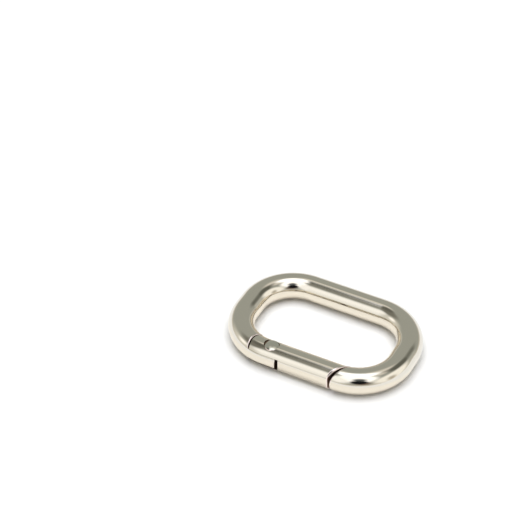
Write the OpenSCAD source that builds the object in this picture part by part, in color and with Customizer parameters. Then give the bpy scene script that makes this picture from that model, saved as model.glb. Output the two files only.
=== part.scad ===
// Oval spring gate ring: a die-cast ring of round bar with a sprung gate in one long side.
// The gate is a fork over the ring's hinge tongue, held by a riveted pin. It swings into the
// loop, and a plunger on a coil spring in its bore presses on the tongue's cam to close it.
//
// The ring lies flat on z = 0, with X along the loop, the gate on the -Y side, the hinge
// towards -X and the nose towards +X. The origin is under the middle of the loop.

/* [Ring] */
// Diameter of the round bar that the ring is cast as
bar_d = 4.8; // [4.6:0.1:5.4]
// Length of the loop's opening
loop_length = 25.5; // [25:0.5:32]
// Width of the loop's opening
loop_width = 14.1; // [13:0.1:16]
// Radius of the opening's corners
loop_corner_r = 5.85; // [5:0.05:6.2]

/* [Hinge] */
// Distance of the hinge pin from the middle of the loop
hinge_offset = 5.9; // [5.5:0.1:6.2]
// Thickness of the tongue that the gate's fork straddles
tongue_thickness = 2.1; // [1.6:0.05:2.2]
// Clearance above and below the tongue in the gate's fork
tongue_clearance = 0.12; // [0.08:0.01:0.2]
// Distance from the pin to the tongue's square end
tongue_reach = 1.65; // [1.5:0.05:1.75]
// Gap between the tongue's square end and the end wall of the gate's slot
slot_end_gap = 0.55; // [0.45:0.05:0.7]
// Radius of the rounded end of the gate's fork
fork_end_r = 4.7; // [4.4:0.05:4.9]
// Gap between the fork's end and the ring's shoulder
shoulder_gap = 0.28; // [0.15:0.01:0.4]
// Distance from the pin along the bar to the middle of the fork's round end
fork_centre_x = 1.03; // [0.8:0.01:1.2]
// Distance from the pin outwards to the middle of the fork's round end
fork_centre_y = 0.94; // [0.6:0.01:1.1]

/* [Hinge pin] */
// Diameter of the pin's shank
pin_d = 1.7; // [1.4:0.05:1.8]
// Running clearance of the shank in the tongue, on the radius
pin_clearance = 0.04; // [0.02:0.01:0.08]
// Diameter of the pin's riveted heads
pin_head_d = 2.75; // [2.3:0.05:2.9]
// Thickness of a head from its seat to the top of its dome
pin_head_h = 0.65; // [0.5:0.05:0.75]
// Radius of the dome on a head
pin_dome_r = 2.3; // [2:0.1:4]
// Gap around a head in its counterbore
pin_head_gap = 0.05; // [0.03:0.01:0.08]

/* [Gate] */
// Distance from the middle of the loop to the gate's tip, on the bar's centre line
gate_reach = 7.25; // [6.8:0.05:7.4]
// Slant of the gate's tip from square across the bar, in degrees
gate_slant = 34; // [30:1:36]
// Depth of the flat that runs along the gate's outer side
gate_flat_depth = 0.34; // [0.2:0.02:0.5]
// How far the gate swings into the loop, in degrees
gate_swing = 30; // [15:1:30]

/* [Nose] */
// Gap between the gate's tip and the nose along the bar's centre line
nose_gap = 0.4; // [0.35:0.01:0.5]
// Slant of the nose's face from square across the bar, in degrees
nose_slant = 29; // [27:1:30]

/* [Closing spring] */
// Distance of the plunger's axis from the pin, towards the loop
cam_offset = 0.8; // [0.6:0.05:0.9]
// Diameter of the plunger
plunger_d = 1.4; // [1.2:0.05:1.5]
// Length of the plunger without its stem
plunger_length = 2.6; // [2.2:0.1:3]
// Running clearance of the plunger in its bore, on the radius
plunger_clearance = 0.05; // [0.02:0.01:0.09]
// Gap between the plunger's tip and the tongue's cam
cam_gap = 0.04; // [0.03:0.01:0.1]
// Diameter of the stem that centres the spring
stem_d = 0.6; // [0.4:0.05:0.65]
// Length of the stem
stem_length = 1.2; // [0.8:0.1:1.6]
// Depth of the bore from the slot's end wall
bore_depth = 8.6; // [8:0.1:8.8]
// Diameter of the spring's wire
wire_d = 0.26; // [0.2:0.01:0.3]
// Outer diameter of the spring
spring_d = 1.3; // [1.2:0.05:1.35]
// Number of turns of the spring
spring_turns = 9; // [6:1:12]
// Clearance at each end of the spring
spring_end_gap = 0.03; // [0.02:0.01:0.1]

/* [Hidden] */
$fn = 96;

// Length that is sure to run past the bar in a cut
past = 2 * bar_d;

// The bar's centre line: corners of radius bend_r joined by straights
bar_r = bar_d / 2;
bend_r = loop_corner_r + bar_r;
bend_x = loop_length / 2 - loop_corner_r;
bend_y = loop_width / 2 - loop_corner_r;
bar_y = -(loop_width / 2 + bar_r);

// The hinge, the slot across the gate's fork and the round end of the fork
hinge_x = -hinge_offset;
slot_height = tongue_thickness + 2 * tongue_clearance;
slot_end_x = hinge_x + tongue_reach + slot_end_gap;
fork_x = hinge_x + fork_centre_x;
fork_y = bar_y - fork_centre_y;
shoulder_r = fork_end_r + shoulder_gap;

// The pin's heads end level with the top and bottom of the bar
head_seat_z = bar_d - pin_head_h;

// The plunger, its bore and the spring between the plunger's shoulder and the bore's end
plunger_y = bar_y + cam_offset;
plunger_tip_x = hinge_x + tongue_reach + cam_gap;
plunger_back_x = plunger_tip_x + plunger_length;
bore_r = plunger_d / 2 + plunger_clearance;
bore_end_x = slot_end_x + bore_depth;
spring_start_x = plunger_back_x + spring_end_gap;
spring_length = bore_end_x - spring_end_gap - spring_start_x;

// Steps along the cam's curve, and the sides and steps a turn of the spring's wire
CAM_STEPS = 12;
WIRE_SIDES = 10;
TURN_STEPS = 20;

// Angle by which the cam's curve runs on past the end of the gate's swing
CAM_OVERRUN = 3;

// A straight of the bar, centred on the origin and running along X
module straight(length) {
    rotate([0, 90, 0]) cylinder(h = length, r = bar_r, center = true);
}

// A quarter of the bar's corner, from +X round to +Y
module bend() {
    rotate_extrude(angle = 90) translate([bend_r, 0]) circle(r = bar_r);
}

// The whole closed loop of round bar, before it is cut for the gate
module bar_loop() {
    translate([0, 0, bar_r]) {
        for (side = [-1, 1]) {
            translate([0, side * (bend_y + bend_r), 0]) straight(2 * bend_x);
            translate([side * (bend_x + bend_r), 0, 0]) rotate([0, 0, 90]) straight(2 * bend_y);
        }
        translate([bend_x, bend_y, 0]) bend();
        translate([-bend_x, bend_y, 0]) rotate([0, 0, 90]) bend();
        translate([-bend_x, -bend_y, 0]) rotate([0, 0, 180]) bend();
        translate([bend_x, -bend_y, 0]) rotate([0, 0, 270]) bend();
    }
}

// Plan of the near bar from a round end at the hinge to a slanted end at the tip.
// The slanted end crosses the bar's centre line at reach.
module gate_plan(round_r, reach, slant) {
    translate([fork_x, fork_y]) circle(r = round_r);
    polygon([
        [fork_x, bar_y - past],
        [reach - past * tan(slant), bar_y - past],
        [reach + bar_d * tan(slant), bar_y + bar_d],
        [fork_x, bar_y + bar_d],
    ]);
}

// A plan raised through the whole bar
module through_bar() {
    translate([0, 0, -1]) linear_extrude(bar_d + 2) children();
}

// A plan raised to a slab of the given thickness in the middle of the bar
module mid_slab(thickness) {
    translate([0, 0, bar_r - thickness / 2]) linear_extrude(thickness) children();
}

// Distance from the pin to the cam's face, square to a direction. It grows evenly with the
// angle, so the plunger travels cam_offset for each radian that the gate swings.
function cam_face(angle) = tongue_reach + cam_offset * angle * PI / 180;

// A point of the cam, where its face is square to the direction
function cam_point(angle) = [
    cam_face(angle) * cos(angle) - cam_offset * sin(angle),
    cam_face(angle) * sin(angle) + cam_offset * cos(angle),
];

// Plan of the tongue about the pin: square on the outside, with the cam towards the loop
module tongue_plan() {
    cam_end = gate_swing + CAM_OVERRUN;
    last = cam_point(cam_end);
    polygon([
        [-past, -past],
        [tongue_reach, -past],
        for (step = [0:CAM_STEPS]) cam_point(cam_end * step / CAM_STEPS),
        last + past * [-sin(cam_end), cos(cam_end)],
        [-past, past],
    ]);
}

// A cylinder along the hinge's axis, from z = from to z = to
module on_hinge(d, from, to) {
    translate([hinge_x, bar_y, from]) cylinder(h = to - from, d = d);
}

// One domed head, standing on its seat at the top of the bar
module pin_head() {
    translate([hinge_x, bar_y]) intersection() {
        translate([0, 0, head_seat_z]) cylinder(h = pin_head_h, d = pin_head_d);
        translate([0, 0, bar_d - pin_dome_r]) sphere(r = pin_dome_r);
    }
}

// What follows, as modelled and mirrored to the underside of the bar
module both_faces() {
    children();
    translate([0, 0, bar_d]) mirror([0, 0, 1]) children();
}

// A cylinder along the plunger's axis, from x = from to x = to
module on_plunger_axis(d, from, to) {
    translate([from, plunger_y, bar_r]) rotate([0, 90, 0]) cylinder(h = to - from, d = d);
}

// The cast ring: the loop without the gate's stretch, with the hinge's tongue left standing
module ring_body() {
    color("silver") difference() {
        bar_loop();
        difference() {
            through_bar() gate_plan(shoulder_r, gate_reach + nose_gap, nose_slant);
            mid_slab(tongue_thickness) translate([hinge_x, bar_y]) tongue_plan();
        }
        on_hinge(pin_d + 2 * pin_clearance, -1, bar_d + 1);
    }
}

// The cast gate: a stretch of the same bar with a fork, a flat outer side and a blind bore
module gate() {
    color("gainsboro") difference() {
        intersection() {
            bar_loop();
            through_bar() gate_plan(fork_end_r, gate_reach, gate_slant);
        }
        mid_slab(slot_height)
            translate([slot_end_x - 2 * past, bar_y - past]) square([2 * past, 2 * past]);
        translate([slot_end_x, bar_y - bar_r + gate_flat_depth - past, -1])
            cube([gate_reach + past, past, bar_d + 2]);
        on_hinge(pin_d, -1, bar_d + 1);
        both_faces() on_hinge(pin_head_d + 2 * pin_head_gap, head_seat_z, bar_d + 1);
        on_plunger_axis(2 * bore_r, slot_end_x - 1, bore_end_x);
    }
}

// The steel rivet, with a domed head at each end
module hinge_pin() {
    color("lightsteelblue") {
        on_hinge(pin_d, bar_d - head_seat_z, head_seat_z);
        both_faces() pin_head();
    }
}

// The plunger: a round-nosed pin with a thin stem that centres the spring
module plunger() {
    nose_x = plunger_tip_x + plunger_d / 2;
    color("darkgray") {
        translate([nose_x, plunger_y, bar_r]) sphere(d = plunger_d);
        on_plunger_axis(plunger_d, nose_x, plunger_back_x);
        on_plunger_axis(stem_d, plunger_back_x, plunger_back_x + stem_length);
    }
}

// A point of the wire's surface, for a step along the coil and a side around the wire
function wire_point(step, side) =
    let (
        turn = 360 * step / TURN_STEPS,
        around = 360 * side / WIRE_SIDES,
        r = (spring_d - wire_d) / 2 + wire_d / 2 * cos(around),
        rise = wire_d / 2 + (spring_length - wire_d) * step / (TURN_STEPS * spring_turns)
    )
    [rise + wire_d / 2 * sin(around), r * cos(turn), r * sin(turn)];

// The compression spring, coiled along the plunger's axis
module spring() {
    steps = TURN_STEPS * spring_turns;
    points = [for (step = [0:steps], side = [0:WIRE_SIDES - 1]) wire_point(step, side)];
    walls = [
        for (step = [0:steps - 1], side = [0:WIRE_SIDES - 1])
            let (next = (side + 1) % WIRE_SIDES, here = step * WIRE_SIDES)
            [here + side, here + next, here + WIRE_SIDES + next, here + WIRE_SIDES + side]
    ];
    ends = [
        [for (side = [WIRE_SIDES - 1:-1:0]) side],
        [for (side = [0:WIRE_SIDES - 1]) steps * WIRE_SIDES + side],
    ];
    color("dimgray") translate([spring_start_x, plunger_y, bar_r])
        polyhedron(points, concat(walls, ends));
}

ring_body();
gate();
hinge_pin();
plunger();
spring();
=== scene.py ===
"""Oval spring gate ring: a bright nickel-plated die casting with a sprung gate, as a product picture.

The castings, the rivet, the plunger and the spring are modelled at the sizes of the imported
frame, and each stands for the node of the same part. Sizes are millimetres until a mesh is
finished, and metres from then on.
"""

import logging
import math
from collections.abc import Callable, Iterable, Sequence
from dataclasses import dataclass, field
from enum import Enum
from typing import Any

import bmesh
import bpy
from mathutils import Matrix, Vector


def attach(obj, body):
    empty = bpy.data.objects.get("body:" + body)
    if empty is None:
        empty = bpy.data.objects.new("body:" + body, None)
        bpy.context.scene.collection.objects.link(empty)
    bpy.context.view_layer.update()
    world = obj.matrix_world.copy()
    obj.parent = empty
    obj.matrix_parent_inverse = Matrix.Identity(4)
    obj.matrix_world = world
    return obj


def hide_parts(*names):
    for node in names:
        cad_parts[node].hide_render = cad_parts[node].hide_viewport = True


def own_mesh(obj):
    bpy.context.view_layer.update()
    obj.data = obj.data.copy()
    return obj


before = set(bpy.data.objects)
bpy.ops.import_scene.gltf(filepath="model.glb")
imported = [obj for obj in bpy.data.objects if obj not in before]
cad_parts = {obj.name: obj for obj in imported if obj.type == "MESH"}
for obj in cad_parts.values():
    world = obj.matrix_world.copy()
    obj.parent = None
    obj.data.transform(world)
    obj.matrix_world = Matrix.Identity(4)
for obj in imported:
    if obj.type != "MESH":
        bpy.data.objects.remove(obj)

log = logging.getLogger("spring_gate_ring")

MM = 0.001

# Vertices closer than this are one vertex, in millimetres
WELD = 1e-4

# The same for the vertices that a cut leaves, in millimetres
CUT_WELD = 1e-3

# Faces that turn by less than this are one flat face, in radians
FLAT = math.radians(0.15)

# Edges that turn by more than this are the casting's arrises, in radians
ARRIS = math.radians(25)

# Steps of a rounded arris
ROUND_STEPS = 3

# Tag of the faces that an arris is rounded with
ARRIS_LAYER = "arris_face"

# Vertex attribute that tells a finish how close it is to a worn arris
ARRIS_ATTRIBUTE = "arris"

# Face attribute that tells a finish which faces lie in a gap or a bore, where the nickel finish paints
# shade and turns duller
RECESS_ATTRIBUTE = "recess"


class Body(Enum):
    """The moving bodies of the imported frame."""

    RING = "ring"
    GATE = "gate"
    PLUNGER = "plunger"


# ---------------------------------------------------------------------------------------
# Mesh tools
# ---------------------------------------------------------------------------------------


def add_object(name: str, data: bpy.types.ID) -> bpy.types.Object:
    """Puts a mesh, a lamp or a camera into the scene.

    Args:
        name: The new object's name.
        data: What the object shows.

    Returns:
        The new object, at the origin.
    """
    thing = bpy.data.objects.new(name, data)
    bpy.context.scene.collection.objects.link(thing)
    return thing


def faces_at(vert: bmesh.types.BMVert, among: set[bmesh.types.BMFace]) -> list[bmesh.types.BMFace]:
    """The faces round a vertex that are in a set."""
    return [face for face in vert.link_faces if face in among]


def mean_normal(faces: Iterable[bmesh.types.BMFace]) -> Vector:
    """The normal of several faces together, each weighted by its area."""
    return sum((face.normal * face.calc_area() for face in faces), Vector()).normalized()


def arris_layer(shape: bmesh.types.BMesh) -> bmesh.types.BMLayerItem:
    """The layer that tags the faces of rounded arrises, made where it is missing."""
    layers = shape.faces.layers.int
    return layers.get(ARRIS_LAYER) or layers.new(ARRIS_LAYER)


def merge_flats(shape: bmesh.types.BMesh, ridge: float) -> None:
    """Makes each flat one face, so that a rounded edge has clean neighbours.

    Args:
        shape: The solid, with Z counted from the bar's middle plane.
        ridge: Height from which the bar's skin is nearly level, and is left as it is.
    """
    shape.normal_update()
    level = [
        edge
        for edge in shape.edges
        if edge.is_manifold
        and edge.calc_face_angle() < FLAT
        and min(abs(vert.co.z) for vert in edge.verts) < ridge
    ]
    bmesh.ops.dissolve_edges(shape, edges=level, use_verts=True)


def round_arrises(shape: bmesh.types.BMesh, width: float, segments: int) -> None:
    """Rounds every outward edge that is sharp, and tags the new faces.

    Args:
        shape: The solid, with its flats merged.
        width: How far the rounding reaches along each side, in millimetres. It is clamped to
            what the shortest neighbouring edge leaves, which is little on the castings.
        segments: Steps of the rounding.
    """
    shape.normal_update()
    tag = arris_layer(shape)
    sharp = [
        edge
        for edge in shape.edges
        if edge.is_manifold and edge.is_convex and edge.calc_face_angle() > ARRIS
    ]
    made = bmesh.ops.bevel(
        shape, geom=sharp, offset=width, offset_type="OFFSET", segments=segments,
        profile=0.5, affect="EDGES", material=-1, clamp_overlap=True,
    )
    for face in made["faces"]:
        face[tag] = 1


def cylinder(radius: float, start: Vector, end: Vector, sides: int = 72) -> bmesh.types.BMesh:
    """A closed cylinder from one point to another.

    Args:
        radius: Radius in millimetres.
        start: Centre of one end.
        end: Centre of the other end.
        sides: Number of sides.

    Returns:
        The new shape, which the caller frees.
    """
    shape = bmesh.new()
    axis = end - start
    turn = axis.to_track_quat("Z", "Y").to_matrix().to_4x4()
    bmesh.ops.create_cone(
        shape, cap_ends=True, segments=sides, radius1=radius, radius2=radius,
        depth=axis.length, matrix=Matrix.Translation((start + end) / 2) @ turn,
    )
    return shape


def carve(shape: bmesh.types.BMesh, tool: bmesh.types.BMesh) -> None:
    """Takes a tool from a shape with an exact boolean, and frees the tool.

    Args:
        shape: The solid, changed in place.
        tool: The closed solid that is taken away.
    """
    held = []
    for name, source in (("blank", shape), ("tool", tool)):
        mesh = bpy.data.meshes.new(name)
        source.to_mesh(mesh)
        held.append(add_object(name, mesh))
    blank, cutter = held
    boolean = blank.modifiers.new("carve", "BOOLEAN")
    boolean.operation = "DIFFERENCE"
    boolean.solver = "EXACT"
    boolean.object = cutter
    bpy.context.view_layer.update()
    result = blank.evaluated_get(bpy.context.evaluated_depsgraph_get())
    shape.clear()
    shape.from_mesh(result.to_mesh())
    result.to_mesh_clear()
    bmesh.ops.remove_doubles(shape, verts=shape.verts, dist=CUT_WELD)
    tool.free()
    for thing in held:
        mesh = thing.data
        bpy.data.objects.remove(thing)
        bpy.data.meshes.remove(mesh)


def lathe(profile: Sequence[tuple[float, float]], steps: int = 72) -> bmesh.types.BMesh:
    """Turns a profile about the Z axis into a closed solid.

    Args:
        profile: Points (radius, height) from the axis back to the axis.
        steps: Number of steps round the axis.

    Returns:
        The new shape, which the caller frees.
    """
    shape = bmesh.new()
    verts = [shape.verts.new((radius, 0, height)) for radius, height in profile]
    edges = [shape.edges.new(pair) for pair in zip(verts, verts[1:])]
    bmesh.ops.spin(
        shape, geom=verts + edges, cent=(0, 0, 0), axis=(0, 0, 1),
        angle=2 * math.pi, steps=steps, use_merge=True,
    )
    bmesh.ops.remove_doubles(shape, verts=shape.verts, dist=WELD)
    bmesh.ops.recalc_face_normals(shape, faces=shape.faces)
    return shape


def arc(
    centre: tuple[float, float], radius: float, start: float, end: float, steps: int = 14
) -> list[tuple[float, float]]:
    """Points of an arc in a profile, from one angle to another in degrees, ends included."""
    angles = [math.radians(start + (end - start) * step / steps) for step in range(steps + 1)]
    return [(centre[0] + radius * math.cos(a), centre[1] + radius * math.sin(a)) for a in angles]


# ---------------------------------------------------------------------------------------
# The bar that both castings are made of
# ---------------------------------------------------------------------------------------


@dataclass(frozen=True)
class BarLoop:
    """The closed loop of round bar, walked anticlockwise from the hinge end of the near side.

    A place on the bar is (along, outward, up): the way walked on the centre line, the offset
    away from the loop's middle, and the height above the bar's middle plane.
    """

    diameter: float = 4.8
    opening_length: float = 25.5
    opening_width: float = 14.1
    corner_radius: float = 5.85

    @property
    def radius(self) -> float:
        """Radius of the bar."""
        return self.diameter / 2

    @property
    def ridge(self) -> float:
        """Height from which the skin is nearly level."""
        share = 0.96
        return share * self.radius

    @property
    def bend(self) -> float:
        """Radius of the centre line's corners."""
        return self.corner_radius + self.radius

    @property
    def half_long(self) -> float:
        """Half the length of a long straight."""
        return self.opening_length / 2 - self.corner_radius

    @property
    def half_short(self) -> float:
        """Half the length of a short straight."""
        return self.opening_width / 2 - self.corner_radius

    @property
    def near_y(self) -> float:
        """Y of the near side's centre line."""
        return -(self.opening_width / 2 + self.radius)

    @property
    def quarter(self) -> float:
        """Length of one corner on the centre line."""
        return math.pi / 2 * self.bend

    @property
    def lap(self) -> float:
        """Length of the whole centre line."""
        return 4 * (self.half_long + self.half_short + self.quarter)

    def near_along(self, x: float, laps: int = 0) -> float:
        """How far along the near side's straight an X is."""
        return x + self.half_long + laps * self.lap

    def place(self, along: float, outward: float, up: float) -> Vector:
        """Where a place on the bar is.

        Args:
            along: Way walked on the centre line, which may pass the lap's end.
            outward: Offset away from the middle of the loop.
            up: Height above the bar's middle plane.

        Returns:
            The point, with Z counted from the bar's middle plane.
        """
        along %= self.lap
        centre = Vector((-self.half_long, -self.half_short, up))
        for side in range(4):
            heading = side * math.pi / 2
            run = 2 * (self.half_short if side % 2 else self.half_long)
            forward = min(along, run)
            centre += Vector((math.cos(heading), math.sin(heading), 0)) * forward
            turned = max(along - run, 0) / self.bend
            if turned <= math.pi / 2:
                break
            along -= run + self.quarter
        facing = heading + turned - math.pi / 2
        return centre + Vector((math.cos(facing), math.sin(facing), 0)) * (self.bend + outward)

    def along_at(
        self, outward: float, start: float, end: float, signed: Callable[[Vector], float]
    ) -> float:
        """Where a lane of the bar meets a surface that stands upright.

        Args:
            outward: The lane's offset away from the middle of the loop.
            start: A place along the bar on one side of the surface.
            end: A place along the bar on its other side.
            signed: Distance to the surface, with its sign.

        Returns:
            The way along the bar to the surface.
        """
        halvings = 40
        at_start = signed(self.place(start, outward, 0)) > 0
        for _ in range(halvings):
            middle = (start + end) / 2
            if (signed(self.place(middle, outward, 0)) > 0) == at_start:
                start = middle
            else:
                end = middle
        return (start + end) / 2

    def core_and_spoke(self, point: Vector) -> tuple[Vector, Vector]:
        """The middle of the bend that a point is nearest to, and the level way from it.

        Args:
            point: The point, with Z counted from the bar's middle plane.

        Returns:
            The middle of the bend, and the level vector from it to the point.
        """
        core = Vector((
            min(max(point.x, -self.half_long), self.half_long),
            min(max(point.y, -self.half_short), self.half_short),
            0,
        ))
        return core, Vector((point.x, point.y, 0)) - core

    def from_centre_line(self, point: Vector) -> Vector:
        """The shortest way from the bar's centre line to a point."""
        core, spoke = self.core_and_spoke(point)
        return point - core - spoke.normalized() * self.bend

    def normal(self, point: Vector) -> Vector:
        """The bar's own normal at a point near its skin."""
        return self.from_centre_line(point).normalized()

    def off_skin(self, point: Vector) -> float:
        """How far a point is from the bar's skin."""
        return abs(self.from_centre_line(point).length - self.radius)

    def lift_on_skin(self, point: Vector, rise: float) -> Vector:
        """Where a point of the skin goes when it is lifted and stays on the skin.

        Args:
            point: The point, with Z counted from the bar's middle plane.
            rise: How far it is lifted.

        Returns:
            The new point.
        """
        core, spoke = self.core_and_spoke(point)
        up = point.z + rise
        side = math.copysign(math.sqrt(self.radius**2 - up**2), spoke.length - self.bend)
        return core + spoke.normalized() * (self.bend + side) + Vector((0, 0, up))

    def lanes(self, edge_up: float, skirt: int = 6, crown: int = 26) -> list[float]:
        """Angles round the upper half of the bar, from its outer side to its inner side.

        Args:
            edge_up: Height at which a lane runs on each side, for an edge to follow.
            skirt: Steps from the middle plane up to that lane.
            crown: Steps over the top between the two lanes.

        Returns:
            The angles in radians, from 0 to pi.
        """
        edge = math.asin(edge_up / self.radius)
        rise = [edge * step / skirt for step in range(skirt)]
        top = [edge + (math.pi - 2 * edge) * step / crown for step in range(crown + 1)]
        return rise + top + [math.pi - angle for angle in reversed(rise)]


class Sweep:
    """The upper half of a casting, grown row by row from a chain of vertices that know their lane."""

    def __init__(self, bar: BarLoop, count: int) -> None:
        """Starts the chain.

        Args:
            bar: The bar that the casting is made of.
            count: Number of lanes.
        """
        self.bar = bar
        self.shape = bmesh.new()
        self.lane = self.shape.verts.layers.int.new("lane")
        self.tag = arris_layer(self.shape)
        seed = bmesh.ops.create_vert(self.shape, co=(1, 0, 0))["vert"]
        bmesh.ops.spin(
            self.shape, geom=seed, cent=(0, 0, 0), axis=(0, -1, 0),
            angle=math.pi, steps=count - 1,
        )
        self.shape.verts.index_update()
        for vert in self.shape.verts:
            vert[self.lane] = vert.index
        self.front = list(self.shape.edges)

    def start(
        self,
        outs: Sequence[float],
        end_at: Callable[[float], float],
        width: float,
        hold: Sequence[float] | None = None,
    ) -> None:
        """Lays the chain across the middle of an end face, inside its round rim.

        Args:
            outs: Offset of each lane on the skin, away from the middle of the loop.
            end_at: Way along the bar to the end face at an offset.
            width: Width of the rim's round.
            hold: Share of the round that each lane takes, all of it where none is given.
        """
        shares = hold or [1.0] * len(outs)
        insets = [out * (1 - share * width / self.bar.radius) for out, share in zip(outs, shares)]
        for vert in self.shape.verts:
            out = insets[vert[self.lane]]
            vert.co = self.bar.place(end_at(out), out, 0)

    def grow(self, places: Sequence[Vector], arris: bool = False) -> None:
        """Extrudes the chain to a new row.

        Args:
            places: The new places, one for each lane.
            arris: Whether the new faces are part of a rounded arris.
        """
        made = bmesh.ops.extrude_edge_only(self.shape, edges=self.front)["geom"]
        new = {item for item in made if isinstance(item, bmesh.types.BMVert)}
        for vert in new:
            vert.co = places[vert[self.lane]]
        self.front = [
            item
            for item in made
            if isinstance(item, bmesh.types.BMEdge) and all(vert in new for vert in item.verts)
        ]
        for edge in self.front:
            for face in edge.link_faces:
                face[self.tag] = int(arris)

    def grow_row(self, alongs: Sequence[float], outs: Sequence[float], ups: Sequence[float]) -> None:
        """Grows a row at places on the bar, one for each lane."""
        self.grow([self.bar.place(*where) for where in zip(alongs, outs, ups)])

    def walk(
        self,
        start: Sequence[float],
        end: Sequence[float],
        outs: Sequence[float],
        ups: Sequence[float],
        steps: int,
    ) -> None:
        """Grows rows that turn evenly from one end shape to another.

        Args:
            start: Way along the bar at which each lane starts.
            end: Way along the bar at which each lane ends.
            outs: Offset of each lane away from the middle of the loop.
            ups: Height of each lane.
            steps: Number of rows.
        """
        for step in range(1, steps + 1):
            alongs = [a + (b - a) * step / steps for a, b in zip(start, end)]
            self.grow_row(alongs, outs, ups)

    def round_rim(
        self,
        outs: Sequence[float],
        ups: Sequence[float],
        end_at: Callable[[float], float],
        inward: int,
        width: float,
        hold: Sequence[float] | None = None,
        from_end: bool = True,
    ) -> None:
        """Grows the rows of a quarter round between an end face and the skin.

        Args:
            outs: Offset of each lane on the skin, away from the middle of the loop.
            ups: Height of each lane on the skin.
            end_at: Way along the bar to the end face at an offset.
            inward: The direction along the bar into the solid, 1 or -1.
            width: How far the round reaches along the skin and down the end face.
            hold: Share of the round that each lane takes, all of it where none is given.
            from_end: Whether the sweep comes from the end face or goes to it.
        """
        steps = 18
        shares = hold or [1.0] * len(outs)
        order = range(steps + 1) if from_end else range(steps, -1, -1)
        for number, step in enumerate(order):
            turn = math.pi / 2 * step / steps
            places = []
            for out, up, share in zip(outs, ups, shares):
                scale = 1 - share * width * (1 - math.sin(turn)) / self.bar.radius
                along = end_at(out * scale) + inward * share * width * (1 - math.cos(turn))
                places.append(self.bar.place(along, out * scale, up * scale))
            self.grow(places, arris=number > 0)

    def close(self) -> bmesh.types.BMesh:
        """Welds the half, mirrors it to the underside and turns its faces outwards.

        Returns:
            The closed solid, which the caller frees.
        """
        shape = self.shape
        bmesh.ops.remove_doubles(shape, verts=shape.verts, dist=WELD)
        bmesh.ops.mirror(shape, geom=shape.verts[:] + shape.edges[:] + shape.faces[:],
                         matrix=Matrix(), merge_dist=WELD, axis="Z")
        bmesh.ops.remove_doubles(shape, verts=shape.verts, dist=WELD)
        bmesh.ops.dissolve_degenerate(shape, edges=shape.edges, dist=WELD)
        bmesh.ops.recalc_face_normals(shape, faces=shape.faces)
        return shape


# ---------------------------------------------------------------------------------------
# Shading normals, and a finished piece
# ---------------------------------------------------------------------------------------


def sort_faces(
    shape: bmesh.types.BMesh, bar: BarLoop | None
) -> tuple[set[bmesh.types.BMFace], set[bmesh.types.BMFace], set[bmesh.types.BMFace]]:
    """Sorts the faces of a solid into its rounded arrises, the bar's skin and its cut faces.

    Args:
        shape: The solid, with Z counted from the bar's middle plane.
        bar: The bar whose skin the solid shows, if it shows any.

    Returns:
        The faces of the arrises, of the skin and of the cuts.
    """
    shape.normal_update()
    tag = arris_layer(shape)
    rounding = {face for face in shape.faces if face[tag]}
    skin = set()
    if bar is not None:
        skin_gap = 0.012
        skin_turn = math.cos(math.radians(9))
        for face in set(shape.faces) - rounding:
            if (
                all(bar.off_skin(vert.co) < skin_gap for vert in face.verts)
                and face.normal.dot(bar.normal(face.calc_center_median())) > skin_turn
            ):
                skin.add(face)
    return rounding, skin, set(shape.faces) - rounding - skin


def run_on(face: bmesh.types.BMFace, flats: list[bmesh.types.BMFace]) -> list[bmesh.types.BMFace]:
    """Those of some faces that run on smoothly from a face."""
    smooth_turn = math.cos(math.radians(28))
    return [other for other in flats if other.normal.dot(face.normal) > smooth_turn]


def corner_normals(shape: bmesh.types.BMesh, bar: BarLoop | None) -> list[Vector]:
    """The true normal at each face corner, so that reflections run on without facets.

    The skin takes the bar's own normal. A cut face takes the mean of the cut faces that run on
    smoothly from it. An arris turns from one to the other.

    Args:
        shape: The solid, with Z counted from the bar's middle plane.
        bar: The bar whose skin the solid shows, if it shows any.

    Returns:
        One normal for each corner, face by face.
    """
    rounding, skin, plain = sort_faces(shape, bar)
    found: list[Vector] = []
    for face in shape.faces:
        for loop in face.loops:
            vert = loop.vert
            if face in skin:
                found.append(bar.normal(vert.co))
            elif face in plain:
                found.append(mean_normal(run_on(face, faces_at(vert, plain))))
            elif faces_at(vert, skin):
                found.append(bar.normal(vert.co))
            elif flats := faces_at(vert, plain):
                nearest = max(flats, key=lambda other: other.normal.dot(face.normal))
                found.append(mean_normal(run_on(nearest, flats)))
            else:
                found.append(mean_normal(faces_at(vert, rounding)))
    return found


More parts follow.
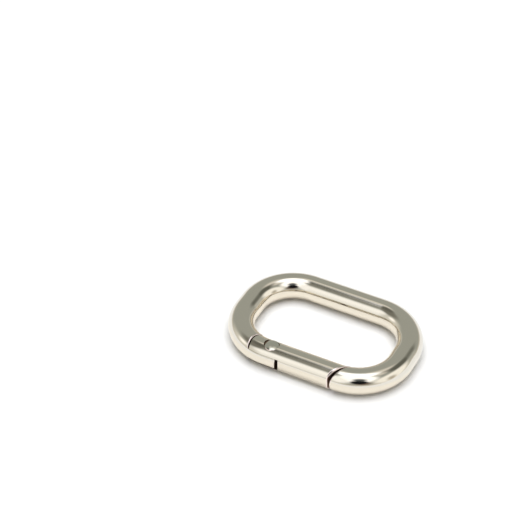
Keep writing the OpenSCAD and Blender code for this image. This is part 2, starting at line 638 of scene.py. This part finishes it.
@dataclass
class Piece:
    """A finished piece: its name, the body that it rides on and the node that it stands for."""

    name: str
    body: Body
    node: str
    slot: str

    def finish(
        self,
        shape: bmesh.types.BMesh,
        rise: float,
        material: bpy.types.Material,
        bar: BarLoop | None = None,
    ) -> bpy.types.Object:
        """Makes the object from a shape in millimetres, gives it its finish and frees the shape.

        Args:
            shape: The closed solid, with Z counted from the bar's middle plane.
            rise: Height of that plane above the floor, in millimetres.
            material: The finish.
            bar: The bar whose skin the solid shows, if it shows any.

        Returns:
            The new object, at the origin, in metres.
        """
        shape.verts.index_update()
        shape.faces.index_update()
        normals = corner_normals(shape, bar)
        rounding, _, cuts = sort_faces(shape, bar)
        wear = [float(all(face in rounding for face in vert.link_faces)) for vert in shape.verts]
        # The faces in gaps and bores, which the nickel finish paints dark brown as shade
        open_side = math.cos(math.radians(5))
        recess = [
            float(bar is not None and face in cuts and -face.normal.y < open_side)
            for face in shape.faces
        ]
        open_edges = sum(not edge.is_manifold for edge in shape.edges)
        bmesh.ops.translate(shape, verts=shape.verts, vec=(0, 0, rise))
        bmesh.ops.scale(shape, verts=shape.verts, vec=(MM, MM, MM))
        mesh = bpy.data.meshes.new(self.name)
        shape.to_mesh(mesh)
        mesh.polygons.foreach_set("use_smooth", [True] * len(mesh.polygons))
        mesh.attributes.new(ARRIS_ATTRIBUTE, "FLOAT", "POINT").data.foreach_set("value", wear)
        mesh.attributes.new(RECESS_ATTRIBUTE, "FLOAT", "FACE").data.foreach_set("value", recess)
        mesh.normals_split_custom_set(normals)
        mesh.materials.append(material)
        mesh.update()
        thing = add_object(self.name, mesh)
        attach(thing, self.body.value)
        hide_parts(self.node)
        log.info(
            "%s: %d faces, volume %.1f mm3, %d open edges",
            self.name, len(mesh.polygons), shape.calc_volume() / MM**3, open_edges,
        )
        shape.free()
        return thing


# ---------------------------------------------------------------------------------------
# The two castings
# ---------------------------------------------------------------------------------------


@dataclass(frozen=True)
class Hinge:
    """Where the hinge is, and the sizes that both castings share there."""

    bar: BarLoop = field(default_factory=BarLoop)
    offset: float = 5.9
    tongue_thickness: float = 2.1
    tongue_clearance: float = 0.12
    tongue_reach: float = 1.65
    slot_end_gap: float = 0.55
    fork_end_radius: float = 4.7
    shoulder_gap: float = 0.28
    fork_centre: tuple[float, float] = (1.03, 0.94)
    cam_offset: float = 0.8
    swing: float = 30
    swing_over: float = 3

    @property
    def x(self) -> float:
        """X of the hinge pin."""
        return -self.offset

    @property
    def slot_end_x(self) -> float:
        """X of the wall at the end of the gate's slot."""
        return self.x + self.tongue_reach + self.slot_end_gap

    @property
    def half_tongue(self) -> float:
        """Half the tongue's thickness."""
        return self.tongue_thickness / 2

    @property
    def half_slot(self) -> float:
        """Half the height of the gate's slot."""
        return self.half_tongue + self.tongue_clearance

    def from_fork_end(self, point: Vector, radius: float) -> float:
        """Signed distance to an upright cylinder about the middle of the fork's round end."""
        middle = Vector((self.x + self.fork_centre[0], self.bar.near_y - self.fork_centre[1]))
        return (point.xy - middle).length - radius

    def from_tongue_end(self, point: Vector) -> float:
        """Signed distance past the tongue's end: square on the outside, a cam towards the loop.

        Args:
            point: The point.

        Returns:
            Millimetres along X, positive beyond the end.
        """
        x, y = point.x - self.x, point.y - self.bar.near_y
        if y <= self.cam_offset:
            return x - self.tongue_reach
        last = math.radians(self.swing + self.swing_over)
        steps = 24
        curve = []
        for step in range(steps + 1):
            turn = last * step / steps
            reach = self.tongue_reach + self.cam_offset * turn
            curve.append((
                reach * math.cos(turn) - self.cam_offset * math.sin(turn),
                reach * math.sin(turn) + self.cam_offset * math.cos(turn),
            ))
        for (x0, y0), (x1, y1) in zip(curve, curve[1:]):
            if y <= y1:
                return x - (x0 + (x1 - x0) * (y - y0) / (y1 - y0))
        x1, y1 = curve[-1]
        return x - (x1 - (y - y1) * math.tan(last))

    def on_axis(self, radius: float, bottom: float, top: float) -> bmesh.types.BMesh:
        """A cylinder along the hinge pin's axis, with heights from the bar's middle plane."""
        here = (self.x, self.bar.near_y)
        return cylinder(radius, Vector((*here, bottom)), Vector((*here, top)))

    def on_plunger_axis(self, x: float, outward: float = 0) -> Vector:
        """A point on the axis of the plunger and its spring, or beside it in Y."""
        return Vector((x, self.bar.near_y + self.cam_offset + outward, 0))


def smooth(share: float) -> float:
    """A share between 0 and 1, eased at both ends."""
    share = min(max(share, 0.0), 1.0)
    return share * share * (3 - 2 * share)


def slanted(point: Vector, bar: BarLoop, reach: float, slant: float) -> float:
    """Signed distance past an end of the near side, slanted in degrees about the X reach."""
    return point.x - reach - math.tan(math.radians(slant)) * (point.y - bar.near_y)


@dataclass
class RingCasting:
    """The cast ring: the bar from the nose all the way round to the hinge's tongue."""

    hinge: Hinge
    nose_reach: float = 7.65
    nose_slant: float = 29
    bore_radius: float = 0.89
    arris: float = 0.11
    nose_round: float = 0.3
    shoulder_round: float = 0.26
    shoulder_fade: float = 0.5
    tongue_ride: float = 0.08
    tongue_relief: float = 0.2

    def build(self) -> bmesh.types.BMesh:
        """Grows the ring from its nose to its tongue, rounds its arrises and bores it.

        Returns:
            The closed solid, in millimetres.
        """
        bar, hinge = self.hinge.bar, self.hinge
        angles = bar.lanes(hinge.half_tongue)
        count = len(angles)
        across = [bar.radius * math.cos(angle) for angle in angles]
        full = [bar.radius * math.sin(angle) for angle in angles]
        low = [min(up, hinge.half_tongue) for up in full]

        # Where the parts of the walk start and end. The last straight is one lap on.
        bend_start = bar.near_along(bar.half_long)
        half_bend = bar.quarter / 2
        last_bend_end = bar.near_along(-bar.half_long, laps=1)
        past_bend = bend_start + half_bend
        before_bend = last_bend_end - half_bend
        shoulder_radius = hinge.fork_end_radius + hinge.shoulder_gap

        def nose_at(out: float) -> float:
            """Way along the bar to the nose at an offset."""
            return bar.along_at(out, bend_start - bar.radius, past_bend,
                                lambda p: slanted(p, bar, self.nose_reach, self.nose_slant))

        def shoulder_at(out: float) -> float:
            """Way along the bar to the shoulder at an offset."""
            return bar.along_at(out, before_bend, last_bend_end,
                                lambda p: hinge.from_fork_end(p, shoulder_radius))

        def tongue_at(out: float) -> float:
            """Way along the bar to the tongue's end at an offset."""
            return bar.along_at(out, last_bend_end, last_bend_end + bar.diameter, hinge.from_tongue_end)

        # The shoulder's round fades out where the tongue runs on flush with the bar
        hold = [smooth((up - hinge.half_tongue) / self.shoulder_fade) for up in full]
        nose = [nose_at(out) + self.nose_round for out in across]
        wall = [shoulder_at(out) for out in across]
        shoulder = [along - share * self.shoulder_round for along, share in zip(wall, hold)]
        tongue = [tongue_at(out) for out in across]
        nose_rows, shoulder_rows, tongue_rows = 14, 12, 8
        sweep = Sweep(bar, count)
        sweep.start(across, nose_at, self.nose_round)
        sweep.round_rim(across, full, nose_at, 1, self.nose_round)
        sweep.walk(nose, [past_bend] * count, across, full, nose_rows)
        for along in self.stations(past_bend, before_bend):
            sweep.grow_row([along] * count, across, full)
        sweep.walk([before_bend] * count, shoulder, across, full, shoulder_rows)
        sweep.round_rim(across, full, shoulder_at, -1, self.shoulder_round, hold, from_end=False)
        sweep.grow_row(wall, across, low)
        sweep.walk(wall, [last_bend_end] * count, across, low, tongue_rows)
        sweep.grow_row(tongue, across, low)
        sweep.grow_row(tongue, across, [0.0] * count)
        shape = sweep.close()
        self.lift_tongue(shape)
        merge_flats(shape, bar.ridge)
        round_arrises(shape, self.arris, ROUND_STEPS)
        carve(shape, hinge.on_axis(self.bore_radius, -bar.diameter, bar.diameter))
        return shape

    def lift_tongue(self, shape: bmesh.types.BMesh) -> None:
        """Lets the tongue ride high in its slot, with the wider gap under it.

        Args:
            shape: The ring, changed in place.
        """
        bar = self.hinge.bar
        for vert in shape.verts:
            if vert.co.x > 0 or abs(abs(vert.co.z) - self.hinge.half_tongue) > WELD:
                continue
            rise = self.tongue_ride if vert.co.z > 0 else self.tongue_relief
            if bar.off_skin(vert.co) < WELD:
                vert.co = bar.lift_on_skin(vert.co, rise)
            else:
                vert.co.z += rise

    def stations(self, start: float, end: float, turn: float = 3.75) -> list[float]:
        """Rows round the bends, with none inside a straight.

        Args:
            start: Way along the bar at which the last row stands.
            end: Way along the bar to the last new row.
            turn: Degrees of bend from one row to the next.

        Returns:
            The ways along the bar, in order.
        """
        bar = self.hinge.bar
        step = math.radians(turn) * bar.bend
        found: list[float] = []
        corner = 0.0
        for side in range(4):
            corner += 2 * (bar.half_short if side % 2 else bar.half_long)
            count = round(bar.quarter / step)
            found += [corner + bar.quarter * number / count for number in range(count + 1)]
            corner += bar.quarter
        slack = step / 4
        return [along for along in found if start + slack < along <= end + WELD]


@dataclass
class GateCasting:
    """The cast gate: a stretch of the bar with a fork, a flat outer side and a blind bore."""

    hinge: Hinge
    reach: float = 7.25
    slant: float = 34
    pin_radius: float = 0.85
    head_radius: float = 1.375
    head_gap: float = 0.03
    head_height: float = 0.65
    plunger_bore_radius: float = 0.75
    plunger_bore_depth: float = 8.6
    drill_lead: float = 1.0
    arris: float = 0.11
    tip_round: float = 0.42
    tip_flat_share: float = 0.3
    tip_fade: float = 0.8
    tip_run: float = 2.2

    def build(self) -> bmesh.types.BMesh:
        """Grows the gate from its tip over the fork and back along the slot, then bores it.

        Returns:
            The closed solid, in millimetres.
        """
        bar, hinge = self.hinge.bar, self.hinge
        angles = bar.lanes(hinge.half_slot)
        count = len(angles)
        corner = math.sqrt(bar.radius**2 - hinge.half_slot**2)
        full_out = [bar.radius * math.cos(angle) for angle in angles]
        full_up = [bar.radius * math.sin(angle) for angle in angles]

        # The body has its flat outside; the cheek ends at the corner of the slot on both sides.
        under = [up < hinge.half_slot - WELD for up in full_up]
        body_out = [min(out, corner) for out in full_out]
        body_up = [0.0 if low and out > 0 else up for low, out, up in zip(under, full_out, full_up)]
        cheek_out = [max(min(out, corner), -corner) for out in full_out]
        cheek_up = [max(up, hinge.half_slot) for up in full_up]
        wall_out = [-bar.radius if low and out < 0 else side
                    for low, out, side in zip(under, full_out, cheek_out)]

        # The straight that the gate lies in, one lap on
        straight_start = bar.near_along(-bar.half_long, laps=1)
        straight_end = bar.near_along(bar.half_long, laps=1)

        def tip_at(out: float) -> float:
            """Way along the bar to the tip at an offset."""
            return bar.along_at(out, straight_start, straight_end + bar.quarter / 2,
                                lambda p: slanted(p, bar, self.reach, self.slant))

        # The tip's round is full over the top and small on the outer flat
        hold = [
            self.tip_flat_share + (1 - self.tip_flat_share) * smooth((corner - out) / self.tip_fade)
            for out in body_out
        ]
        tip = [tip_at(out) - share * self.tip_round for out, share in zip(body_out, hold)]
        slot_end = [bar.near_along(hinge.slot_end_x, laps=1)] * count
        fork = [
            bar.along_at(out, straight_start - bar.quarter / 2, straight_start,
                         lambda p: hinge.from_fork_end(p, hinge.fork_end_radius))
            for out in cheek_out
        ]
        rows = 12
        cheek_rows = [slot_end] + [
            [straight_start + (along - straight_start) * step / rows for along in fork]
            for step in range(rows + 1)
        ]
        sweep = Sweep(bar, count)
        sweep.start(body_out, tip_at, self.tip_round, hold)
        sweep.round_rim(body_out, body_up, tip_at, -1, self.tip_round, hold)
        sweep.walk(tip, [straight_end - self.tip_run] * count, body_out, body_up, rows)
        sweep.grow_row(slot_end, body_out, body_up)
        for alongs in cheek_rows:
            sweep.grow_row(alongs, cheek_out, cheek_up)
        for alongs in reversed(cheek_rows):
            sweep.grow_row(alongs, cheek_out, [hinge.half_slot] * count)
        sweep.grow_row(slot_end, wall_out, [0.0] * count)
        shape = sweep.close()
        merge_flats(shape, bar.ridge)
        round_arrises(shape, self.arris, ROUND_STEPS)
        self.bore(shape)
        return shape

    def bore(self, shape: bmesh.types.BMesh) -> None:
        """Drills the pin's hole and counterbores, and the plunger's blind bore.

        Args:
            shape: The gate, changed in place.
        """
        bar, hinge = self.hinge.bar, self.hinge
        past = bar.diameter
        seat = bar.radius - self.head_height
        head = self.head_radius + self.head_gap
        carve(shape, hinge.on_axis(self.pin_radius, -past, past))
        carve(shape, hinge.on_axis(head, seat, past))
        carve(shape, hinge.on_axis(head, -past, -seat))
        start = hinge.on_plunger_axis(hinge.slot_end_x - self.drill_lead)
        end = hinge.on_plunger_axis(hinge.slot_end_x + self.plunger_bore_depth)
        carve(shape, cylinder(self.plunger_bore_radius, start, end))


@dataclass
class HingePin:
    """The steel rivet with a low domed head at each end."""

    hinge: Hinge
    radius: float = 0.85
    head_radius: float = 1.375
    head_height: float = 0.65
    dome_radius: float = 3.4
    edge: float = 0.16

    def build(self) -> bmesh.types.BMesh:
        """Turns the rivet on its axis.

        Returns:
            The closed solid, in millimetres.
        """
        top = self.hinge.bar.radius
        seat = top - self.head_height
        centre = top - self.dome_radius
        rim = math.degrees(math.acos(self.head_radius / self.dome_radius))
        dome = arc((0, centre), self.dome_radius, rim, 90)
        half = [(self.radius, 0.0), (self.radius, seat), (self.head_radius, seat), *dome]
        lower = [(radius, -height) for radius, height in reversed(half[1:])]
        shape = lathe(lower + half)
        round_arrises(shape, self.edge, ROUND_STEPS)
        bmesh.ops.translate(shape, verts=shape.verts, vec=(self.hinge.x, self.hinge.bar.near_y, 0))
        return shape


@dataclass
class Plunger:
    """The round-nosed pin that presses on the tongue's cam, with a stem inside the spring."""

    hinge: Hinge
    diameter: float = 1.4
    length: float = 2.6
    stem_diameter: float = 0.6
    stem_length: float = 1.2
    cam_gap: float = 0.04
    edge: float = 0.05

    @property
    def tip_x(self) -> float:
        """X of the round nose's tip."""
        return self.hinge.x + self.hinge.tongue_reach + self.cam_gap

    def build(self) -> bmesh.types.BMesh:
        """Turns the plunger on its axis and lays it along the bore.

        Returns:
            The closed solid, in millimetres.
        """
        radius, stem = self.diameter / 2, self.stem_diameter / 2
        nose = arc((0, radius), radius, -90, 0)
        end = self.length + self.stem_length
        shape = lathe([*nose, (radius, self.length), (stem, self.length), (stem, end), (0, end)])
        round_arrises(shape, self.edge, ROUND_STEPS - 1)
        along = Matrix.Rotation(math.pi / 2, 4, "Y")
        put = Matrix.Translation(self.hinge.on_plunger_axis(self.tip_x))
        bmesh.ops.transform(shape, matrix=put @ along, verts=shape.verts)
        return shape


@dataclass
class ClosingSpring:
    """The compression spring in the gate's bore, between the plunger and the bore's end."""

    hinge: Hinge
    wire: float = 0.26
    diameter: float = 1.3
    turns: int = 9
    start_x: float = -1.58
    end_x: float = 4.87
    travel: float = 0.42
    wire_sides: int = 14
    turn_steps: int = 28

    def build(self) -> bmesh.types.BMesh:
        """Winds the wire as a helix along the bore.

        Returns:
            The closed solid, in millimetres.
        """
        shape = bmesh.new()
        wire_radius = self.wire / 2
        coil = self.diameter / 2 - wire_radius
        first = Matrix.Translation(self.hinge.on_plunger_axis(self.start_x + wire_radius, coil))
        bmesh.ops.create_circle(shape, segments=self.wire_sides, radius=wire_radius, matrix=first)
        steps = self.turn_steps * self.turns
        rise = (self.end_x - self.start_x - self.wire) / steps
        bmesh.ops.spin(
            shape, geom=shape.verts[:] + shape.edges[:],
            cent=self.hinge.on_plunger_axis(self.start_x), axis=(1, 0, 0),
            dvec=(rise, 0, 0), angle=2 * math.pi * self.turns, steps=steps,
        )
        bmesh.ops.holes_fill(shape, edges=[edge for edge in shape.edges if edge.is_boundary], sides=0)
        bmesh.ops.recalc_face_normals(shape, faces=shape.faces)
        return shape

    def shorten(self, thing: bpy.types.Object) -> None:
        """Gives the finished spring a mesh of its own; it does not give way as the plunger slides in.

        Args:
            thing: The finished spring.
        """
        anchor = self.hinge.on_plunger_axis(self.end_x) + Vector((0, 0, self.hinge.bar.radius))
        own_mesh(thing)


# ---------------------------------------------------------------------------------------
# Finishes
# ---------------------------------------------------------------------------------------


def linear(code: str) -> tuple[float, float, float, float]:
    """Turns an sRGB colour to linear.

    Args:
        code: The colour in hex, such as #C8BFA9.

    Returns:
        Linear RGBA.
    """
    parts = [int(code[place : place + 2], 16) / 255 for place in (1, 3, 5)]
    red, green, blue = (
        part / 12.92 if part <= 0.04045 else ((part + 0.055) / 1.055) ** 2.4 for part in parts
    )
    return red, green, blue, 1.0


def empty_tree(owner: bpy.types.Material | bpy.types.World) -> bpy.types.NodeTree:
    """Turns nodes on and takes the ready-made ones away.

    Args:
        owner: The material or world.

    Returns:
        Its node tree, empty.
    """
    owner.use_nodes = True
    owner.node_tree.nodes.clear()
    return owner.node_tree


def add_node(
    tree: bpy.types.NodeTree,
    kind: str,
    settings: dict[str, Any] | None = None,
    inputs: dict[str | int, Any] | None = None,
) -> bpy.types.Node:
    """Adds a node, sets it up and links it.

    Args:
        tree: The node tree.
        kind: The node's type name, without its ShaderNode prefix.
        settings: The node's own properties.
        inputs: For each input by name or number, a value or the output that feeds it.

    Returns:
        The new node.
    """
    node = tree.nodes.new("ShaderNode" + kind)
    for name, value in (settings or {}).items():
        setattr(node, name, value)
    for name, value in (inputs or {}).items():
        if isinstance(value, bpy.types.NodeSocket):
            tree.links.new(value, node.inputs[name])
        else:
            node.inputs[name].default_value = value
    return node


@dataclass(frozen=True)
class BrightMetal:
    """A polished or drawn metal surface, seen mostly by what it mirrors.

    grain is the distance between the fine marks of its making, and swell the distance between
    the slow rises that make its reflections waver, both in millimetres. The arris colour shows
    on worn arrises, where a finish has it. The recess shade colour is painted shade in gaps and
    bores, and the recess roughness makes them duller, where a finish has them.
    """

    name: str
    colour: str
    roughness: float
    roughness_spread: float
    grain: float
    grain_depth: float
    swell: float
    swell_depth: float
    arris_colour: str | None = None
    # Painted shade: the dark brown that gaps and bores are painted with
    recess_shade_colour: str | None = None
    recess_roughness: float | None = None

    def material(self) -> bpy.types.Material:
        """Builds the finish.

        Returns:
            The material.
        """
        made = bpy.data.materials.new(self.name)
        tree = empty_tree(made)
        place = add_node(tree, "TexCoord").outputs["Object"]
        under: dict[str | int, Any] = {}
        for size, depth, detail, fineness in (
            (self.swell, self.swell_depth, 1.0, 0.4),
            (self.grain, self.grain_depth, 3.0, 0.6),
        ):
            marks = add_node(tree, "TexNoise", None, {
                "Vector": place, "Scale": 1 / (size * MM), "Detail": detail, "Roughness": fineness,
            }).outputs["Fac"]
            bump = add_node(tree, "Bump", None, {
                "Strength": 1.0, "Distance": depth * MM, "Height": marks, **under,
            })
            under = {"Normal": bump.outputs["Normal"]}
        rough = add_node(tree, "MapRange", None, {
            "Value": marks, "From Min": 0.3, "From Max": 0.7,
            "To Min": self.roughness - self.roughness_spread,
            "To Max": self.roughness + self.roughness_spread,
        }).outputs["Result"]
        colour: Any = linear(self.colour)
        if self.arris_colour is not None:
            worn = add_node(tree, "Attribute", {"attribute_name": ARRIS_ATTRIBUTE}).outputs["Fac"]
            colour = add_node(tree, "Mix", {"data_type": "RGBA"}, {
                0: worn, 6: colour, 7: linear(self.arris_colour),
            }).outputs[2]
        # Painted shade: gaps and bores turn dark brown, and duller
        if self.recess_shade_colour is not None:
            deep = add_node(tree, "Attribute", {"attribute_name": RECESS_ATTRIBUTE}).outputs["Fac"]
            colour = add_node(tree, "Mix", {"data_type": "RGBA"}, {
                0: deep, 6: colour, 7: linear(self.recess_shade_colour),
            }).outputs[2]
            rough = add_node(tree, "Mix", {"data_type": "FLOAT"}, {
                0: deep, 2: rough, 3: self.recess_roughness,
            }).outputs[0]
        shader = add_node(tree, "BsdfPrincipled", None, {
            "Base Color": colour, "Metallic": 1.0, "Roughness": rough, **under,
        })
        add_node(tree, "OutputMaterial", None, {"Surface": shader.outputs["BSDF"]})
        return made


# Bright nickel on a tumbled zinc casting: a warm mirror whose swell comes from the casting
# under it. Its arrises are polished through towards the pink of the copper strike. Gaps and
# bores are painted dark brown as shade, and made duller.
NICKEL_PLATE = BrightMetal(
    name="bright nickel plate on zinc casting",
    colour="#E5DDCE", arris_colour="#EFE1DA", recess_shade_colour="#8A7262", recess_roughness=0.45,
    roughness=0.085, roughness_spread=0.02,
    grain=0.12, grain_depth=0.0004, swell=2.6, swell_depth=0.006,
)

# A cold-headed steel rivet, plated with the gate: a little duller where the punch spread it.
RIVET_STEEL = BrightMetal(
    name="headed rivet steel, nickel plated",
    colour="#D9D4C6", arris_colour="#EFD9D0",
    roughness=0.14, roughness_spread=0.04,
    grain=0.1, grain_depth=0.001, swell=0.9, swell_depth=0.006,
)

# A ground and hardened steel pin: grey, with a fine even sheen.
PLUNGER_STEEL = BrightMetal(
    name="ground hardened steel",
    colour="#B9BAB8", arris_colour="#D2D3D1",
    roughness=0.22, roughness_spread=0.05,
    grain=0.05, grain_depth=0.0006, swell=0.8, swell_depth=0.001,
)

# Drawn music wire: darker, with the faint draw marks of the die.
SPRING_WIRE = BrightMetal(
    name="drawn spring wire",
    colour="#9A9A98",
    roughness=0.3, roughness_spread=0.06,
    grain=0.04, grain_depth=0.0008, swell=0.4, swell_depth=0.001,
)


# ---------------------------------------------------------------------------------------
# Studio and camera
# ---------------------------------------------------------------------------------------


@dataclass(frozen=True)
class Panel:
    """A soft-edged panel of the studio, as the ring sees it.

    Angles are degrees. Azimuth 0 is the side of the camera and grows to the right of it.
    """

    azimuth: float
    elevation: float
    half_width: float
    half_height: float
    softness: float
    colour: str
    level: float = 1.0


@dataclass(frozen=True)
class Studio:
    """A white table in a grey room, with soft white panels over it and beside it."""

    azimuth: float = 27.4
    floor_half: float = 0.9
    floor_colour: str = "#FCFBF9"
    # Painted light: the cool tint of the table beyond the ring. The camera never sees it, and the metal
    # mirrors it
    far_floor_painted_light: str = "#F7FAFF"
    warm_centre: tuple[float, float, float] = (0.0, -10.0, 0.0)
    warm_radius: float = 20.5
    warm_fade: float = 3.0
    room_colour: str = "#A9ADA8"
    overhead_angle: float = 60
    overhead_strength: float = 2.5
    room_share: float = 0.45
    floor_seen: float = 0.95
    panels: tuple[Panel, ...] = (
        # The far edge of the table, and the pale top of the right-hand wall
        Panel(0, 0, 1000, 7, 0.9, "#DEDCD6"),
        Panel(108, 66, 52, 9, 0.5, "#E9E6E0"),
        # Dark upper walls to the left and right
        Panel(-94, 54, 30, 16, 0.5, "#7E7E77"),
        Panel(104, 46, 24, 20, 0.45, "#686A64"),
        # The wide white panel over the table, and its skirt behind the camera
        Panel(0, 110, 1000, 39, 0.1, "#F4F8FF", 1.75),
        Panel(0, 68, 50, 41, 0.2, "#F8FAFF", 1.6),
        # A pale edge beyond the table, and the dark frame at the left of the white panel
        Panel(-160, 65, 15, 5, 0.5, "#E9E6E0"),
        Panel(-112, 66, 31, 9, 0.4, "#6E6E68"),
        # Low bright panels to the left and the right
        Panel(-45, 30, 28, 24, 0.4, "#FBFDFF", 1.25),
        Panel(-86, 14, 34, 18, 0.55, "#E4E4DE", 1.0),
        Panel(-91, 21, 11, 8, 0.6, "#FFFFFF", 1.3),
        Panel(64, 21, 38, 22, 0.3, "#FFFFFC", 1.15),
        Panel(60, 12, 8, 11, 0.7, "#C4BEB2"),
        # The camera and its stand, which the metal mirrors as a dark shape
        Panel(8, 20, 15, 9, 0.6, "#7A6A60"),
        Panel(4, 50, 15, 12, 0.5, "#62676A"),
        Panel(2, 31, 17, 13, 0.25, "#15171A"),
    )

    def build(self) -> None:
        """Makes the floor, the lamp and the room."""
        self.floor()
        self.lamp()
        self.room()

    def floor(self) -> None:
        """Lays the pale floor that the ring lies on."""
        shape = bmesh.new()
        bmesh.ops.create_grid(shape, x_segments=1, y_segments=1, size=self.floor_half)
        mesh = bpy.data.meshes.new("floor")
        shape.to_mesh(mesh)
        shape.free()
        made = bpy.data.materials.new("white table top")
        tree = empty_tree(made)
        # The metal mirrors a table that is warm in front of the ring and painted cool beyond it: painted
        # light, a cool tint that stands for the cooler light on the far table
        place = add_node(tree, "TexCoord").outputs["Object"]
        centre = tuple(part * MM for part in self.warm_centre)
        away = add_node(tree, "VectorMath", {"operation": "DISTANCE"}, {0: place, 1: centre})
        beyond = add_node(tree, "MapRange", None, {
            "Value": away.outputs["Value"],
            "From Min": self.warm_radius * MM, "From Max": (self.warm_radius + self.warm_fade) * MM,
        }).outputs["Result"]
        mirrored = add_node(tree, "Mix", {"data_type": "RGBA"}, {
            0: beyond, 6: linear(self.floor_colour), 7: linear(self.far_floor_painted_light),
        }).outputs[2]
        seen = add_node(tree, "LightPath").outputs["Is Camera Ray"]
        white = (self.floor_seen, self.floor_seen, self.floor_seen, 1.0)
        colour = add_node(tree, "Mix", {"data_type": "RGBA"}, {0: seen, 6: mirrored, 7: white})
        diffuse = add_node(tree, "BsdfDiffuse", None, {"Color": colour.outputs[2]})
        add_node(tree, "OutputMaterial", None, {"Surface": diffuse.outputs[0]})
        mesh.materials.append(made)
        add_object("floor", mesh)

    def lamp(self) -> None:
        """Hangs the soft overhead lamp, which the metal sees as the room's overhead panel."""
        data = bpy.data.lights.new("overhead", "SUN")
        data.energy = self.overhead_strength
        data.angle = math.radians(self.overhead_angle)
        add_object("overhead", data).visible_glossy = False

    def room(self) -> None:
        """Paints the room round the ring, which shows white to the camera."""
        world = bpy.data.worlds.new("room")
        bpy.context.scene.world = world
        tree = empty_tree(world)
        place = add_node(tree, "TexCoord").outputs["Generated"]
        turned = add_node(tree, "VectorRotate", {"rotation_type": "Z_AXIS"}, {
            "Vector": place, "Angle": -math.radians(self.azimuth),
        })
        parts = add_node(tree, "SeparateXYZ", None, {0: turned.outputs[0]}).outputs
        back = add_node(tree, "Math", {"operation": "MULTIPLY"}, {0: parts["Y"], 1: -1.0}).outputs[0]
        azimuth = add_node(tree, "Math", {"operation": "ARCTAN2"}, {0: parts["X"], 1: back}).outputs[0]
        elevation = add_node(tree, "Math", {"operation": "ARCSINE"}, {0: parts["Z"]}).outputs[0]
        angles = add_node(tree, "CombineXYZ", None, {"X": azimuth, "Y": elevation}).outputs[0]
        colour: Any = linear(self.room_colour)
        for panel in self.panels:
            centre = (math.radians(panel.azimuth), math.radians(panel.elevation), 0)
            size = (1 / math.radians(panel.half_width), 1 / math.radians(panel.half_height), 0)
            away: Any = angles
            for operation, by in (("SUBTRACT", centre), ("MULTIPLY", size)):
                away = add_node(tree, "VectorMath", {"operation": operation}, {0: away, 1: by}).outputs[0]
            length = add_node(tree, "VectorMath", {"operation": "LENGTH"}, {0: away}).outputs["Value"]
            mask = add_node(tree, "MapRange", {"interpolation_type": "SMOOTHSTEP"}, {
                "Value": length,
                "From Min": 1 + panel.softness, "From Max": 1 - panel.softness,
            }).outputs["Result"]
            shade = tuple(part * panel.level for part in linear(panel.colour)[:3]) + (1.0,)
            colour = add_node(tree, "Mix", {"data_type": "RGBA"}, {
                0: mask, 6: colour, 7: shade,
            }).outputs[2]
        seen = add_node(tree, "LightPath").outputs
        shown = add_node(tree, "Mix", {"data_type": "RGBA"}, {
            0: seen["Is Camera Ray"], 6: colour, 7: (1.0, 1.0, 1.0, 1.0),
        }).outputs[2]
        whole = add_node(tree, "Math", {"operation": "MAXIMUM"}, {
            0: seen["Is Camera Ray"], 1: seen["Is Glossy Ray"],
        }).outputs[0]
        strength = add_node(tree, "MapRange", None, {"Value": whole, "To Min": self.room_share})
        light = add_node(tree, "Background", None, {
            "Color": shown, "Strength": strength.outputs["Result"],
        })
        add_node(tree, "OutputWorld", None, {"Surface": light.outputs[0]})


@dataclass(frozen=True)
class ProductCamera:
    """The camera: far off and long, looking down on the near long side from the nose's end.

    The frame is square, frame_pixels wide. The point in the middle of the near plane of the
    bar, over the origin, falls on aim_pixels, counted from the frame's top left corner.
    """

    bar_radius: float = 2.4
    azimuth: float = 27.40
    elevation: float = 40.81
    distance_radii: float = 150.0
    pixels_per_radius: float = 13.468
    aim_pixels: tuple[float, float] = (325.3, 332.0)
    frame_pixels: int = 510
    sensor: float = 36.0

    def build(self) -> None:
        """Makes the camera and sets it as the scene's own."""
        turn, rise = math.radians(self.azimuth), math.radians(self.elevation)
        right = Vector((math.cos(turn), math.sin(turn), 0))
        level = Vector((math.sin(turn), -math.cos(turn), 0))
        back = level * math.cos(rise) + Vector((0, 0, math.sin(rise)))
        up = back.cross(right)
        focal = self.pixels_per_radius * self.distance_radii
        middle = self.frame_pixels / 2
        beside = (self.aim_pixels[0] - middle) / self.pixels_per_radius
        above = (middle - self.aim_pixels[1]) / self.pixels_per_radius
        place = Vector((0, 0, 1)) - right * beside - up * above + back * self.distance_radii
        data = bpy.data.cameras.new("product camera")
        data.sensor_width = self.sensor
        data.lens = self.sensor * focal / self.frame_pixels
        data.clip_start = 0.01
        camera = add_object("product camera", data)
        matrix = Matrix((right, up, back)).transposed().to_4x4()
        matrix.translation = place * self.bar_radius * MM
        camera.matrix_world = matrix
        bpy.context.scene.camera = camera


def main() -> None:
    """Builds the studio, the camera and the five pieces."""
    logging.basicConfig(level=logging.INFO, format="%(name)s: %(message)s")
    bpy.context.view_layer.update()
    bpy.context.scene.view_settings.view_transform = "Standard"
    ProductCamera().build()
    Studio().build()
    hinge = Hinge()
    bar = hinge.bar
    nickel = NICKEL_PLATE.material()
    Piece("ring_casting", Body.RING, "ring_body", "nickel_plate").finish(
        RingCasting(hinge).build(), bar.radius, nickel, bar)
    Piece("gate_casting", Body.GATE, "gate", "nickel_plate").finish(
        GateCasting(hinge).build(), bar.radius, nickel, bar)
    Piece("rivet", Body.GATE, "hinge_pin", "rivet_steel").finish(
        HingePin(hinge).build(), bar.radius, RIVET_STEEL.material())
    Piece("plunger_pin", Body.PLUNGER, "plunger", "plunger_steel").finish(
        Plunger(hinge).build(), bar.radius, PLUNGER_STEEL.material())
    spring = ClosingSpring(hinge)
    spring.shorten(
        Piece("closing_spring", Body.GATE, "spring", "spring_wire").finish(
            spring.build(), bar.radius, SPRING_WIRE.material()))


if __name__ == "__main__":
    main()
